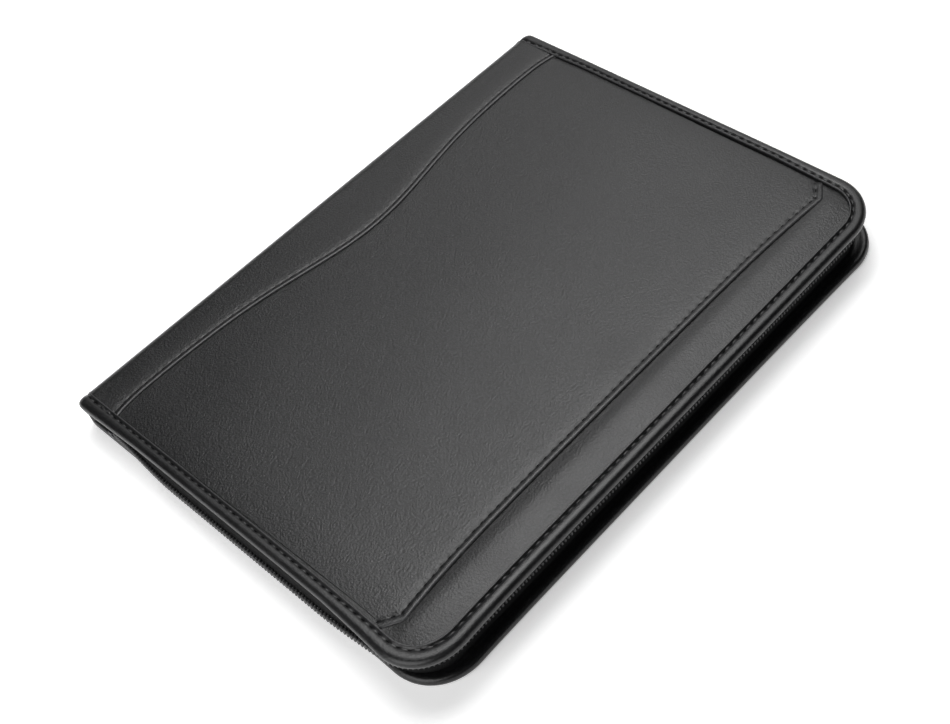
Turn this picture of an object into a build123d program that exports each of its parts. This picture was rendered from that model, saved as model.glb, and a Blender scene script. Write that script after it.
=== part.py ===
from build123d import *
from collections import namedtuple
from math import asin, atan, cos, degrees, pi, sin, sqrt, tan
import os

# A zippered padfolio, closed: two bound leather covers joined by a rounded spine, a zipper round
# the three open edges, a writing pad inside the back cover and pockets inside the front cover.
# Millimetres. Origin: centre of the back cover's outer face, which lies on the table.
# +X runs from the spine to the fore edge, +Y to the far end, +Z up.

# Covers
LENGTH = 340.0
WIDTH = 260.0
CORNER_RADIUS = 28.0
BACK_INSET = 1.6
FOLD_RADIUS = 8.0
FOLD_SPLIT = 0.3

# Edge binding: a rolled rim with a flat leg that laps over the panels
ROLL_WIDTH = 4.0
ROLL_THICKNESS = 5.4
ROLL_OUTER_ROUND = 2.2
ROLL_INNER_ROUND = 1.0
BINDING_WIDTH = 8.2

# Gap between the two rims: narrow at the spine, wide at the fore edge
RIM_GAP_SPINE = 10.1
RIM_GAP_FORE = 19.3

# Layers of the covers, outside to inside
PANEL_THICKNESS = 0.8
FOAM_THICKNESS = 1.0
BOARD_THICKNESS = 1.6
LINING_THICKNESS = 0.6
BOARD_MARGIN = 9.5
PANEL_START = 12.0

# Stiffener strip behind the spine leather, which follows each fold for this many degrees
SPINE_STRIP_THICKNESS = 1.0
SPINE_STRIP_DEGREES = 25.0

# Wavy edge of the spine-side panel: distances from the spine, and places along it
WAVE_END = 32.0
WAVE_LOW = 28.0
WAVE_FLANK = 37.3
WAVE_CREST = 43.6
WAVE_LOW_AT = 88.0
WAVE_FLANK_AT = 26.0
WAVE_CENTRE = 3.0

# Outside pocket: mouth set back from the fore edge, with its two ends cut aslant
MOUTH_INSET = 29.2
MOUTH_CUT_ACROSS = 9.5
MOUTH_CUT_ALONG = 13.7

# Zipper: tape standing on edge round three sides, with the chain on its outer face
TAPE_THICKNESS = 0.6
TAPE_INSET_ENDS = 2.85
TAPE_INSET_FORE = 7.3
TAPE_START = 14.0
ZIP_CORNER_RADIUS = 24.0
CHAIN_THICKNESS = 2.4
CHAIN_HALF_WIDTH = 2.05
CHAIN_START = 28.0
MESH_GAP = 1.0
STOP_LENGTH = 2.5
RUNNING_CLEARANCE = 0.35

# Slider: two plates joined by a post in the mesh gap, and a lip under the lower chain
SLIDER_LENGTH = 12.0
SLIDER_PLATE = 1.0
SLIDER_LIP = 0.9
SLIDER_TAPER = 1.0
SLIDER_ROUND = 0.8
POST_LENGTH = 3.0
POST_THICKNESS = 0.4
POST_FROM_NOSE = 1.0

# Crown on the slider's outer plate, its lock spring, and the pull that hangs in it
CROWN_LENGTH = 6.8
CROWN_WIDTH = 2.0
CROWN_STRAP = 0.9
CROWN_ROUND = 1.2
SPRING_THICKNESS = 0.25
PULL_THICKNESS = 0.9
PULL_LENGTH = 27.0
PULL_WIDTH = 6.4
PULL_ARM = 1.2
PULL_WINDOW = 5.0
PULL_SHOULDER = 3.0
PULL_ROUND = 2.0
PULL_EYE_RADIUS = 1.1
PULL_EYE_FROM_END = 3.6

# Writing pad, with its card backing tucked behind a leather panel
PAD_SPINE_MARGIN = 32.0
PAD_FORE_MARGIN = 14.0
PAD_END_MARGIN = 30.0
PAD_BACKING = 0.8
PAD_PAPER = 5.0
PAD_TAPE = 0.4
PAD_TAPE_LEG = 10.0
PAD_SLIT_FROM_HEAD = 25.0
PAD_PANEL_OVERLAP = 2.5

# Pen loop beside the spine
PEN_BORE = 7.6
PEN_ELASTIC = 0.7
PEN_LOOP_LENGTH = 26.0
PEN_LOOP_ROUND = 3.2
PEN_FROM_SPINE = 20.5

# Pockets inside the front cover
POCKET_SPINE_MARGIN = 32.0
POCKET_EDGE_MARGIN = 16.0
POCKET_MOUTH_SLANT = 30.0
POCKET_THICKNESS = 0.8
CARD_WIDTH = 98.0
CARD_DEPTH = 62.0
CARD_STEP = 13.0
CARD_LEATHER = 0.6
CARD_FROM_FORE = 34.0
CARD_ROUND = 4.0
ID_WIDTH = 92.0
ID_DEPTH = 66.0
ID_THICKNESS = 0.5

# Values that follow from the sizes above
SPINE_X = -WIDTH / 2
SPINE_HEIGHT = 2 * ROLL_THICKNESS + RIM_GAP_SPINE
FORE_HEIGHT = 2 * ROLL_THICKNESS + RIM_GAP_FORE
TILT = atan((FORE_HEIGHT - SPINE_HEIGHT) / WIDTH)
HALF_LENGTH = LENGTH / 2
BACK_FOAM_DEPTH = PANEL_THICKNESS + FOAM_THICKNESS
BACK_STACK = BACK_FOAM_DEPTH + BOARD_THICKNESS + LINING_THICKNESS
FRONT_FOAM_DEPTH = 3 * PANEL_THICKNESS + FOAM_THICKNESS
FRONT_STACK = FRONT_FOAM_DEPTH + BOARD_THICKNESS + LINING_THICKNESS

# A cover is drawn on its outer face: x from the spine, y along the spine, z outwards.
# Its section plane has x from the spine and y outwards. turn is the angle of its spine fold.
Cover = namedtuple("Cover", "face section half_length turn fold_start")


def make_cover(face, half_length, turn):
    section = Plane(face.origin, face.x_dir, -face.y_dir)
    return Cover(face, section, half_length, turn, FOLD_RADIUS * tan(turn / 2))


FRONT_FACE = Plane((SPINE_X, 0, SPINE_HEIGHT), (cos(TILT), 0, sin(TILT)), (-sin(TILT), 0, cos(TILT)))
BACK_FACE = Plane((SPINE_X, 0, 0), (1, 0, 0), (0, 0, -1))
FRONT = make_cover(FRONT_FACE, HALF_LENGTH, pi / 2 - TILT)
BACK = make_cover(BACK_FACE, HALF_LENGTH - BACK_INSET, pi / 2)

# The zipper's middle plane lies halfway between the covers
HALF_TILT = TILT / 2
ZIP = Plane(
    (SPINE_X, 0, SPINE_HEIGHT / 2),
    (cos(HALF_TILT), 0, sin(HALF_TILT)),
    (-sin(HALF_TILT), 0, cos(HALF_TILT)),
)


def save(builder, name):
    builder.part.label = name
    export_step(builder.part, f"parts/{name}.step")


def half_fold(turn, radius):
    """Degrees of fold arc that belong to one side, short of the split by half its gap."""
    return degrees(turn / 2 - asin(FOLD_SPLIT / 2 / radius))


def curled_sheet(cover, outer, inner, inset_fore, inset_ends, corner=0.0):
    """Sheet between two depths, from the middle of the spine fold towards the fore edge."""
    reach = WIDTH - inset_fore
    centre = (cover.fold_start, -FOLD_RADIUS)
    skin_radius = FOLD_RADIUS - outer
    core_radius = FOLD_RADIUS - inner
    with BuildPart() as sheet:
        with BuildSketch(cover.section):
            with BuildLine():
                skin = CenterArc(centre, skin_radius, 90, half_fold(cover.turn, skin_radius))
                core = CenterArc(centre, core_radius, 90, half_fold(cover.turn, core_radius))
                Line(skin @ 1, core @ 1)
                Polyline(skin @ 0, (reach, -outer), (reach, -inner), core @ 0)
            make_face()
        extrude(amount=cover.half_length - inset_ends, both=True)
        if corner:
            upright = sheet.edges().filter_by(Axis(cover.face.origin, cover.face.z_dir))
            fillet(upright.sort_by(Axis(cover.face.origin, cover.face.x_dir))[-2:], corner)
    return sheet


def flat_sheet(cover, outer, thickness, inset):
    """Flat layer at a depth below the cover's outer face, rounded at its two fore corners."""
    across = WIDTH - inset - PANEL_START
    with BuildPart() as sheet:
        with BuildSketch(cover.face.offset(-outer)) as outline:
            with Locations((PANEL_START + across / 2, 0)):
                Rectangle(across, 2 * (cover.half_length - inset))
            fillet(outline.vertices().sort_by(Axis.X)[-2:], CORNER_RADIUS - inset)
        extrude(amount=-thickness)
    return sheet


def binding(cover):
    """Rolled rim round three edges, with a leg that laps over the panels."""
    whole = curled_sheet(cover, 0, ROLL_THICKNESS, 0, 0, CORNER_RADIUS)
    bed = curled_sheet(
        cover, PANEL_THICKNESS, ROLL_THICKNESS, ROLL_WIDTH, ROLL_WIDTH, CORNER_RADIUS - ROLL_WIDTH
    )
    opening = curled_sheet(
        cover, 0, ROLL_THICKNESS, BINDING_WIDTH, BINDING_WIDTH, CORNER_RADIUS - BINDING_WIDTH
    )
    with BuildPart() as rim:
        add(whole.part)
        for height, radius in ((0, ROLL_OUTER_ROUND), (-ROLL_THICKNESS, ROLL_INNER_ROUND)):
            level = cover.face.offset(height)
            flat = rim.faces().filter_by(level).sort_by(SortBy.AREA)[-1]
            fore = flat.edges().sort_by(Axis(level.origin, level.x_dir))[-1]
            fillet(fore, radius)
        add(bed.part, mode=Mode.SUBTRACT)
        add(opening.part, mode=Mode.SUBTRACT)
    return rim


def spine_shell(outer, inner, inset_ends, arc=None):
    """Sheet between two depths of the spine, as far as the two folds' splits or a set arc."""
    x_centre = SPINE_X + FOLD_RADIUS
    upper_centre = SPINE_HEIGHT + FOLD_RADIUS * (tan(TILT) - 1 / cos(TILT))
    folds = ((FOLD_RADIUS, BACK.turn, 1), (upper_centre, FRONT.turn, -1))
    with BuildPart() as shell:
        with BuildSketch(Plane.XZ):
            with BuildLine():
                starts = []
                for z_centre, turn, way in folds:
                    arcs = []
                    for radius in (FOLD_RADIUS - outer, FOLD_RADIUS - inner):
                        sweep = arc or half_fold(turn, radius)
                        arcs.append(CenterArc((x_centre, z_centre), radius, 180, way * sweep))
                    Line(arcs[0] @ 1, arcs[1] @ 1)
                    starts.append([curve @ 0 for curve in arcs])
                for low, high in zip(*starts):
                    Line(low, high)
            make_face()
        extrude(amount=HALF_LENGTH - inset_ends, both=True)
    return shell


# Back cover, outside to inside
back_binding = binding(BACK)
back_leather = curled_sheet(
    BACK, 0, PANEL_THICKNESS, BINDING_WIDTH, BINDING_WIDTH, CORNER_RADIUS - BINDING_WIDTH
)
back_foam = flat_sheet(BACK, PANEL_THICKNESS, FOAM_THICKNESS, ROLL_WIDTH)
back_board = flat_sheet(BACK, BACK_FOAM_DEPTH, BOARD_THICKNESS, BOARD_MARGIN)
back_lining = flat_sheet(BACK, BACK_FOAM_DEPTH + BOARD_THICKNESS, LINING_THICKNESS, BOARD_MARGIN)

# Front cover, outside to inside: the spine-side panel and the pocket panel lie over the base leather
front_binding = binding(FRONT)
front_leather = flat_sheet(FRONT, 2 * PANEL_THICKNESS, PANEL_THICKNESS, ROLL_WIDTH)
front_foam = flat_sheet(FRONT, 3 * PANEL_THICKNESS, FOAM_THICKNESS, ROLL_WIDTH)
front_board = flat_sheet(FRONT, FRONT_FOAM_DEPTH, BOARD_THICKNESS, BOARD_MARGIN)
front_lining = flat_sheet(FRONT, FRONT_FOAM_DEPTH + BOARD_THICKNESS, LINING_THICKNESS, BOARD_MARGIN)

panel_half = HALF_LENGTH - BINDING_WIDTH
wave_reach = WAVE_CREST + BINDING_WIDTH
wave_blank = curled_sheet(FRONT, 0, PANEL_THICKNESS, WIDTH - wave_reach, BINDING_WIDTH)
with BuildPart() as wave_panel:
    add(wave_blank.part)
    with BuildSketch(FRONT.face):
        with BuildLine():
            edge = Spline(
                (WAVE_END, -panel_half),
                (WAVE_LOW, WAVE_CENTRE - WAVE_LOW_AT),
                (WAVE_FLANK, WAVE_CENTRE - WAVE_FLANK_AT),
                (WAVE_CREST, WAVE_CENTRE),
                (WAVE_FLANK, WAVE_CENTRE + WAVE_FLANK_AT),
                (WAVE_LOW, WAVE_CENTRE + WAVE_LOW_AT),
                (WAVE_END, panel_half),
            )
            Polyline(edge @ 0, (wave_reach, -panel_half), (wave_reach, panel_half), edge @ 1)
        make_face()
    extrude(amount=-PANEL_THICKNESS, mode=Mode.SUBTRACT)

mouth = WIDTH - MOUTH_INSET
pocket_half = HALF_LENGTH - ROLL_WIDTH
with BuildPart() as front_pocket_panel:
    with BuildSketch(FRONT.face.offset(-PANEL_THICKNESS)):
        with BuildLine():
            Polyline(
                (PANEL_START, -pocket_half),
                (mouth - MOUTH_CUT_ACROSS, -pocket_half),
                (mouth, -pocket_half + MOUTH_CUT_ALONG),
                (mouth, pocket_half - MOUTH_CUT_ALONG),
                (mouth - MOUTH_CUT_ACROSS, pocket_half),
                (PANEL_START, pocket_half),
                close=True,
            )
        make_face()
    extrude(amount=-PANEL_THICKNESS)

# Spine
spine_leather = spine_shell(0, PANEL_THICKNESS, BINDING_WIDTH)
strip_depth = PANEL_THICKNESS + SPINE_STRIP_THICKNESS
spine_strip = spine_shell(PANEL_THICKNESS, strip_depth, BOARD_MARGIN, SPINE_STRIP_DEGREES)
lining_depth = strip_depth + LINING_THICKNESS
spine_lining = spine_shell(strip_depth, lining_depth, BOARD_MARGIN, SPINE_STRIP_DEGREES)

spine_whole = spine_shell(0, ROLL_THICKNESS, 0)
spine_bed = spine_shell(PANEL_THICKNESS, ROLL_THICKNESS, ROLL_WIDTH)
spine_opening = spine_shell(0, ROLL_THICKNESS, BINDING_WIDTH)
with BuildPart() as spine_bindings:
    add(spine_whole.part)
    for end in (0, -1):
        end_face = spine_bindings.faces().filter_by(Axis.Y).sort_by(Axis.Y)[end]
        fillet(end_face.edges().filter_by(Axis.Z).sort_by(Axis.X)[0], ROLL_OUTER_ROUND)
    add(spine_bed.part, mode=Mode.SUBTRACT)
    add(spine_opening.part, mode=Mode.SUBTRACT)


def zip_outline(start, grow):
    """Region inside the zipper's path, grown outwards from the tape's outer face."""
    half = HALF_LENGTH - TAPE_INSET_ENDS + grow
    fore = WIDTH - TAPE_INSET_FORE + grow
    with BuildSketch() as outline:
        with Locations(((start + fore) / 2, 0)):
            Rectangle(fore - start, 2 * half)
        fillet(outline.vertices().sort_by(Axis.X)[-2:], ZIP_CORNER_RADIUS + grow)
    return outline.sketch


def zip_ribbon(start, inner, outer, base, rise):
    """Ribbon round the three zipped edges, between two growths of the zipper's path."""
    outside = zip_outline(start, outer)
    inside = zip_outline(start - TAPE_START, inner)
    with BuildPart() as ribbon:
        with BuildSketch(ZIP.offset(base)):
            add(outside)
            add(inside, mode=Mode.SUBTRACT)
        extrude(amount=rise)
    return ribbon


def zip_tape(cover, rim, way):
    """Tape from the mesh gap to the foam of one cover, cut off where it meets the rolled rim."""
    foam_depth = FRONT_FOAM_DEPTH if cover is FRONT else BACK_FOAM_DEPTH
    ribbon = zip_ribbon(TAPE_START, -TAPE_THICKNESS, 0, way * MESH_GAP / 2, way * FORE_HEIGHT)
    with BuildPart() as tape:
        add(ribbon.part)
        split(bisect_by=cover.face.offset(-foam_depth), keep=Keep.BOTTOM)
        add(rim.part, mode=Mode.SUBTRACT)
    return tape


def zip_stops(way):
    """Clamped blocks that close both ends of one chain half."""
    place = HALF_LENGTH - TAPE_INSET_ENDS + CHAIN_THICKNESS / 2
    with BuildPart() as stops:
        with BuildSketch(ZIP.offset(way * MESH_GAP / 2)):
            with Locations((CHAIN_START - STOP_LENGTH / 2, -place), (CHAIN_START - STOP_LENGTH / 2, place)):
                Rectangle(STOP_LENGTH, CHAIN_THICKNESS)
        extrude(amount=way * CHAIN_HALF_WIDTH)
    return stops


zipper_tape_front = zip_tape(FRONT, front_binding, 1)
zipper_tape_back = zip_tape(BACK, back_binding, -1)
zipper_chain_front = zip_ribbon(CHAIN_START, 0, CHAIN_THICKNESS, MESH_GAP / 2, CHAIN_HALF_WIDTH)
zipper_chain_back = zip_ribbon(CHAIN_START, 0, CHAIN_THICKNESS, -MESH_GAP / 2, -CHAIN_HALF_WIDTH)
zipper_stops_front = zip_stops(1)
zipper_stops_back = zip_stops(-1)

# Slider, parked at the spine end of the far edge, with its nose towards the spine
slider_place = CHAIN_START + RUNNING_CLEARANCE + SLIDER_LENGTH / 2
slider_half = MESH_GAP / 2 + CHAIN_HALF_WIDTH + RUNNING_CLEARANCE + SLIDER_LIP
chain_foot = HALF_LENGTH - TAPE_INSET_ENDS
inner_plate = chain_foot - TAPE_THICKNESS - RUNNING_CLEARANCE
outer_plate = chain_foot + CHAIN_THICKNESS + RUNNING_CLEARANCE
plate_top = outer_plate + SLIDER_PLATE


def slider_plane(along):
    """Plane across the far edge: x along the zipper, y up, z inwards from a distance along +Y."""
    return Plane(ZIP.from_local_coords((slider_place, along, 0)), ZIP.x_dir, -ZIP.y_dir)


with BuildPart() as slider_body:
    for along, rise in ((inner_plate, SLIDER_PLATE), (outer_plate, -SLIDER_PLATE)):
        with BuildSketch(slider_plane(along)) as plate:
            with BuildLine():
                Polyline(
                    (-SLIDER_LENGTH / 2, slider_half),
                    (0, slider_half),
                    (SLIDER_LENGTH / 2, slider_half - SLIDER_TAPER),
                    (SLIDER_LENGTH / 2, SLIDER_TAPER - slider_half),
                    (0, -slider_half),
                    (-SLIDER_LENGTH / 2, -slider_half),
                    close=True,
                )
            make_face()
            fillet(plate.vertices(), SLIDER_ROUND)
        extrude(amount=rise)
    with BuildSketch(slider_plane(outer_plate)):
        with Locations((-SLIDER_LENGTH / 4, SLIDER_LIP / 2 - slider_half)):
            Rectangle(SLIDER_LENGTH / 2 - 2 * SLIDER_ROUND, SLIDER_LIP)
    extrude(amount=CHAIN_THICKNESS)
    with BuildSketch(slider_plane(outer_plate)):
        with Locations((POST_FROM_NOSE + (POST_LENGTH - SLIDER_LENGTH) / 2, 0)):
            Rectangle(POST_LENGTH, POST_THICKNESS)
    extrude(amount=outer_plate - inner_plate)

pull_swing_radius = PULL_THICKNESS / sqrt(2)
crown_inside = SPRING_THICKNESS + 2 * (RUNNING_CLEARANCE + pull_swing_radius)
pull_pivot = plate_top + SPRING_THICKNESS + RUNNING_CLEARANCE + pull_swing_radius

with BuildPart() as slider_crown:
    with BuildSketch(ZIP.offset(-CROWN_WIDTH / 2)) as arch:
        with Locations((slider_place, plate_top + (crown_inside + CROWN_STRAP) / 2)):
            Rectangle(CROWN_LENGTH, crown_inside + CROWN_STRAP)
        fillet(arch.vertices().sort_by(Axis.Y)[-2:], CROWN_ROUND)
        with Locations((slider_place, plate_top + crown_inside / 2)):
            Rectangle(CROWN_LENGTH - 2 * CROWN_STRAP, crown_inside, mode=Mode.SUBTRACT)
    extrude(amount=CROWN_WIDTH)

with BuildPart() as slider_lock_spring:
    with BuildSketch(ZIP.offset(-CROWN_WIDTH / 2)):
        with Locations((slider_place, plate_top + SPRING_THICKNESS / 2)):
            Rectangle(CROWN_LENGTH - 2 * CROWN_STRAP, SPRING_THICKNESS)
    extrude(amount=CROWN_WIDTH)

arm_inner = CROWN_WIDTH / 2 + RUNNING_CLEARANCE
arm_outer = arm_inner + PULL_ARM
with BuildPart() as pull_tab:
    with BuildSketch(slider_plane(pull_pivot)) as tab:
        with BuildLine():
            Polyline(
                (-PULL_THICKNESS / 2, arm_outer),
                (PULL_WINDOW, arm_outer),
                (PULL_WINDOW + PULL_SHOULDER, PULL_WIDTH / 2),
                (PULL_LENGTH, PULL_WIDTH / 2),
                (PULL_LENGTH, -PULL_WIDTH / 2),
                (PULL_WINDOW + PULL_SHOULDER, -PULL_WIDTH / 2),
                (PULL_WINDOW, -arm_outer),
                (-PULL_THICKNESS / 2, -arm_outer),
                close=True,
            )
        make_face()
        fillet(tab.vertices().sort_by(Axis.X)[-2:], PULL_ROUND)
        with Locations(((PULL_THICKNESS / 2 + PULL_WINDOW) / 2, 0)):
            Rectangle(PULL_WINDOW - PULL_THICKNESS / 2, 2 * arm_inner, mode=Mode.SUBTRACT)
        with Locations((PULL_LENGTH - PULL_EYE_FROM_END, 0)):
            Circle(PULL_EYE_RADIUS, mode=Mode.SUBTRACT)
    extrude(amount=PULL_THICKNESS / 2, both=True)

# Writing pad on the back cover's lining
pad_low_x = SPINE_X + PAD_SPINE_MARGIN
pad_width = WIDTH - PAD_SPINE_MARGIN - PAD_FORE_MARGIN
pad_half = HALF_LENGTH - PAD_END_MARGIN
panel_level = BACK_STACK + PAD_BACKING
paper_level = panel_level + PANEL_THICKNESS
paper_top = paper_level + PAD_PAPER


def pad_sheet(level, thickness, overlap, head):
    """Rectangle of the pad's outline, widened on three sides and ending short of the head."""
    low = -pad_half - overlap
    high = pad_half - head
    with BuildPart() as sheet:
        with BuildSketch(Plane.XY.offset(level)):
            with Locations((pad_low_x + pad_width / 2, (low + high) / 2)):
                Rectangle(pad_width + 2 * overlap, high - low)
        extrude(amount=thickness)
    return sheet


pad_backing_board = pad_sheet(BACK_STACK, PAD_BACKING, 0, 0)
pad_pocket_panel = pad_sheet(panel_level, PANEL_THICKNESS, PAD_PANEL_OVERLAP, PAD_SLIT_FROM_HEAD)
pad_paper = pad_sheet(paper_level, PAD_PAPER, 0, 0)

with BuildPart() as pad_head_tape:
    with BuildSketch(Plane.YZ.offset(pad_low_x)):
        with BuildLine():
            Polyline(
                (pad_half, BACK_STACK),
                (pad_half + PAD_TAPE, BACK_STACK),
                (pad_half + PAD_TAPE, paper_top + PAD_TAPE),
                (pad_half - PAD_TAPE_LEG, paper_top + PAD_TAPE),
                (pad_half - PAD_TAPE_LEG, paper_top),
                (pad_half, paper_top),
                close=True,
            )
        make_face()
    extrude(amount=pad_width)

loop_size = PEN_BORE + 2 * PEN_ELASTIC
with BuildPart() as pen_loop:
    with BuildSketch(Plane.XZ):
        with Locations((SPINE_X + PEN_FROM_SPINE, BACK_STACK + loop_size / 2)):
            RectangleRounded(loop_size, loop_size, PEN_LOOP_ROUND)
            RectangleRounded(PEN_BORE, PEN_BORE, PEN_LOOP_ROUND - PEN_ELASTIC, mode=Mode.SUBTRACT)
    extrude(amount=PEN_LOOP_LENGTH / 2, both=True)

# Pockets on the front cover's lining
pocket_fore = WIDTH - POCKET_EDGE_MARGIN
pocket_end = HALF_LENGTH - POCKET_EDGE_MARGIN
with BuildPart() as document_pocket:
    with BuildSketch(FRONT.face.offset(-FRONT_STACK)):
        with BuildLine():
            Polyline(
                (POCKET_SPINE_MARGIN, -pocket_end),
                (pocket_fore, -pocket_end),
                (pocket_fore, pocket_end),
                (POCKET_SPINE_MARGIN + POCKET_MOUTH_SLANT, pocket_end),
                close=True,
            )
        make_face()
    extrude(amount=-POCKET_THICKNESS)

# The card pockets and the window are each centred on one half of the document pocket
card_fore = WIDTH - CARD_FROM_FORE
card_middle = pocket_end / 2


def inside_patch(depth, thickness, middle, across, width):
    """Rounded patch sewn inside the front cover, reaching from the card line towards the spine."""
    with BuildPart() as patch:
        with BuildSketch(FRONT.face.offset(-depth)):
            with Locations((card_fore - across / 2, middle)):
                RectangleRounded(across, width, CARD_ROUND)
        extrude(amount=-thickness)
    return patch


card_names = ("card_pocket_upper", "card_pocket_middle", "card_pocket_lower")
card_pockets = {}
for layer, name in enumerate(card_names):
    depth = FRONT_STACK + POCKET_THICKNESS + layer * CARD_LEATHER
    across = CARD_DEPTH + (len(card_names) - 1 - layer) * CARD_STEP
    card_pockets[name] = inside_patch(depth, CARD_LEATHER, card_middle, across, CARD_WIDTH)

id_window = inside_patch(
    FRONT_STACK + POCKET_THICKNESS, ID_THICKNESS, -card_middle, ID_DEPTH, ID_WIDTH
)

pieces = {
    "back_binding": back_binding,
    "back_leather": back_leather,
    "back_foam": back_foam,
    "back_board": back_board,
    "back_lining": back_lining,
    "zipper_tape_back": zipper_tape_back,
    "zipper_chain_back": zipper_chain_back,
    "zipper_stops_back": zipper_stops_back,
    "pad_backing_board": pad_backing_board,
    "pad_pocket_panel": pad_pocket_panel,
    "pad_paper": pad_paper,
    "pad_head_tape": pad_head_tape,
    "pen_loop": pen_loop,
    "spine_leather": spine_leather,
    "spine_strip": spine_strip,
    "spine_lining": spine_lining,
    "spine_bindings": spine_bindings,
    "front_binding": front_binding,
    "front_leather": front_leather,
    "front_foam": front_foam,
    "front_board": front_board,
    "front_lining": front_lining,
    "wave_panel": wave_panel,
    "front_pocket_panel": front_pocket_panel,
    "zipper_tape_front": zipper_tape_front,
    "zipper_chain_front": zipper_chain_front,
    "zipper_stops_front": zipper_stops_front,
    "document_pocket": document_pocket,
    **card_pockets,
    "id_window": id_window,
    "slider_body": slider_body,
    "slider_crown": slider_crown,
    "slider_lock_spring": slider_lock_spring,
    "pull_tab": pull_tab,
}

os.makedirs("parts", exist_ok=True)
for name, builder in pieces.items():
    save(builder, name)
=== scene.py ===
# %% [markdown]
# # A zippered leather padfolio
# The object is a flat case for a writing pad: two leather covers with a rolled binding round their
# edges, a soft spine, and a zipper round the three open sides. The CAD model gives every piece its
# place and its motion. This lesson dresses it: each CAD sheet is replaced by a modelled one with
# rolled edges, stitching and grain, in the same frame.

# %% Load the frame
from collections import namedtuple
from math import atan, cos, exp, hypot, pi, radians, sin, tan

import bmesh
import bpy
from mathutils import Matrix, Vector, noise
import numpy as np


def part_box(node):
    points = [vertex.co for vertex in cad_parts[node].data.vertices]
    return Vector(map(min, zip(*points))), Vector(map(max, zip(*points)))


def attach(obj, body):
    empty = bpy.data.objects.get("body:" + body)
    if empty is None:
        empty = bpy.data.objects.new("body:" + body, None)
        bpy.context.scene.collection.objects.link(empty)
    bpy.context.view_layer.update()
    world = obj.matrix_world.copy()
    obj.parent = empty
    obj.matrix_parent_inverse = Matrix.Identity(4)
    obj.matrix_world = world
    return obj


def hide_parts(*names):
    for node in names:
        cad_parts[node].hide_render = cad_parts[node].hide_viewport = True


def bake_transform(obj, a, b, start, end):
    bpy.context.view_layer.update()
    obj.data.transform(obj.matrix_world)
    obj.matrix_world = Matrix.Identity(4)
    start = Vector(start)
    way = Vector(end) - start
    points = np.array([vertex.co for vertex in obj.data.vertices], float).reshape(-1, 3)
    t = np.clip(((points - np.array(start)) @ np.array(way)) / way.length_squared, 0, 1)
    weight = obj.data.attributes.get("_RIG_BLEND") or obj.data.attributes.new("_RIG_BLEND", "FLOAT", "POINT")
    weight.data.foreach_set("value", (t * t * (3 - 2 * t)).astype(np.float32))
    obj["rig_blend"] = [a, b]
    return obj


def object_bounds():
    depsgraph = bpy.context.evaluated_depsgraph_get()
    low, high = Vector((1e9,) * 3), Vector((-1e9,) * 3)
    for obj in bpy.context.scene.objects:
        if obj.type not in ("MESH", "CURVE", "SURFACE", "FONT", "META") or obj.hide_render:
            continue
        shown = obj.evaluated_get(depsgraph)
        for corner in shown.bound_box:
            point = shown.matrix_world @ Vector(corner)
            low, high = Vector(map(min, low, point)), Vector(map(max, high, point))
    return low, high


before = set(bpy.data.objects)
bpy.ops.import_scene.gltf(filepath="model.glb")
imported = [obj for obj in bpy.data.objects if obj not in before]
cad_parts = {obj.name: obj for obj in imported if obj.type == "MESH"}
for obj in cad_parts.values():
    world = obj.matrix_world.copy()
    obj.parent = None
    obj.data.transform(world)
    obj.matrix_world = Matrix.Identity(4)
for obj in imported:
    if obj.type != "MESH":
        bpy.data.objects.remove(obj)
CAD_LOW, CAD_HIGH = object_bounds()
print("CAD box in metres:", [round(x, 4) for x in CAD_HIGH - CAD_LOW])

# %% [markdown]
# The photograph is taken from above the near fore corner with a normal lens. It was cut out after
# the picture was taken, so the lens axis is not at the middle of the frame, and a small shift of
# the camera gives the same cut. A camera that is turned by hand would also work, but a place, a
# direction and a roll can be read and changed.

# %% Camera
CAMERA_PLACE = (0.39546, -0.26319, 0.55109)
CAMERA_LOOK = (-0.4451, 0.3776, -0.8119)
CAMERA_ROLL = radians(-10.79)

lens = bpy.data.cameras.new("camera")
lens.lens = 52.245
lens.sensor_width = 36.0
lens.shift_x = -0.1481
lens.shift_y = 0.0664
camera = bpy.data.objects.new("camera", lens)
camera.location = CAMERA_PLACE
facing = Vector(CAMERA_LOOK).to_track_quat("-Z", "Y").to_matrix()
camera.rotation_euler = (facing @ Matrix.Rotation(CAMERA_ROLL, 3, "Z")).to_euler()
bpy.context.scene.collection.objects.link(camera)
bpy.context.scene.camera = camera
print("camera looks along", CAMERA_LOOK)

# %% [markdown]
# The covers are drawn flat, in millimetres: u runs from the spine to the fore edge, v along the
# spine, and w out of the cover. One matrix for each cover then lays the drawing where the CAD has
# that cover and turns millimetres into metres. Drawing in the frame's own axes would also work, but
# the front cover is tilted by two degrees, so every height would need a correction.

# %% Sizes and places of the covers
MM = 0.001
WIDTH = (CAD_HIGH.x - CAD_LOW.x) / MM
HALF_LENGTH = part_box("front_binding")[1].y / MM
SPINE_HEIGHT = 20.9
FORE_HEIGHT = 30.1
FOLD_RADIUS = 8.0
CORNER_RADIUS = 28.0
BACK_INSET = 0.8
BACK_SKEW = 1.75
TILT = atan((FORE_HEIGHT - SPINE_HEIGHT) / WIDTH)

Cover = namedtuple("Cover", "place half turn fold_start body")


def sheet_place(height, tilt, flip):
    """Matrix from a cover's drawing in millimetres to the frame in metres."""
    across = Vector((cos(tilt), 0, sin(tilt)))
    along = Vector((0, flip, 0))
    axes = Matrix((across, along, across.cross(along))).transposed().to_4x4()
    return Matrix.Translation((CAD_LOW.x, 0, height * MM)) @ axes @ Matrix.Scale(MM, 4)


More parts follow.
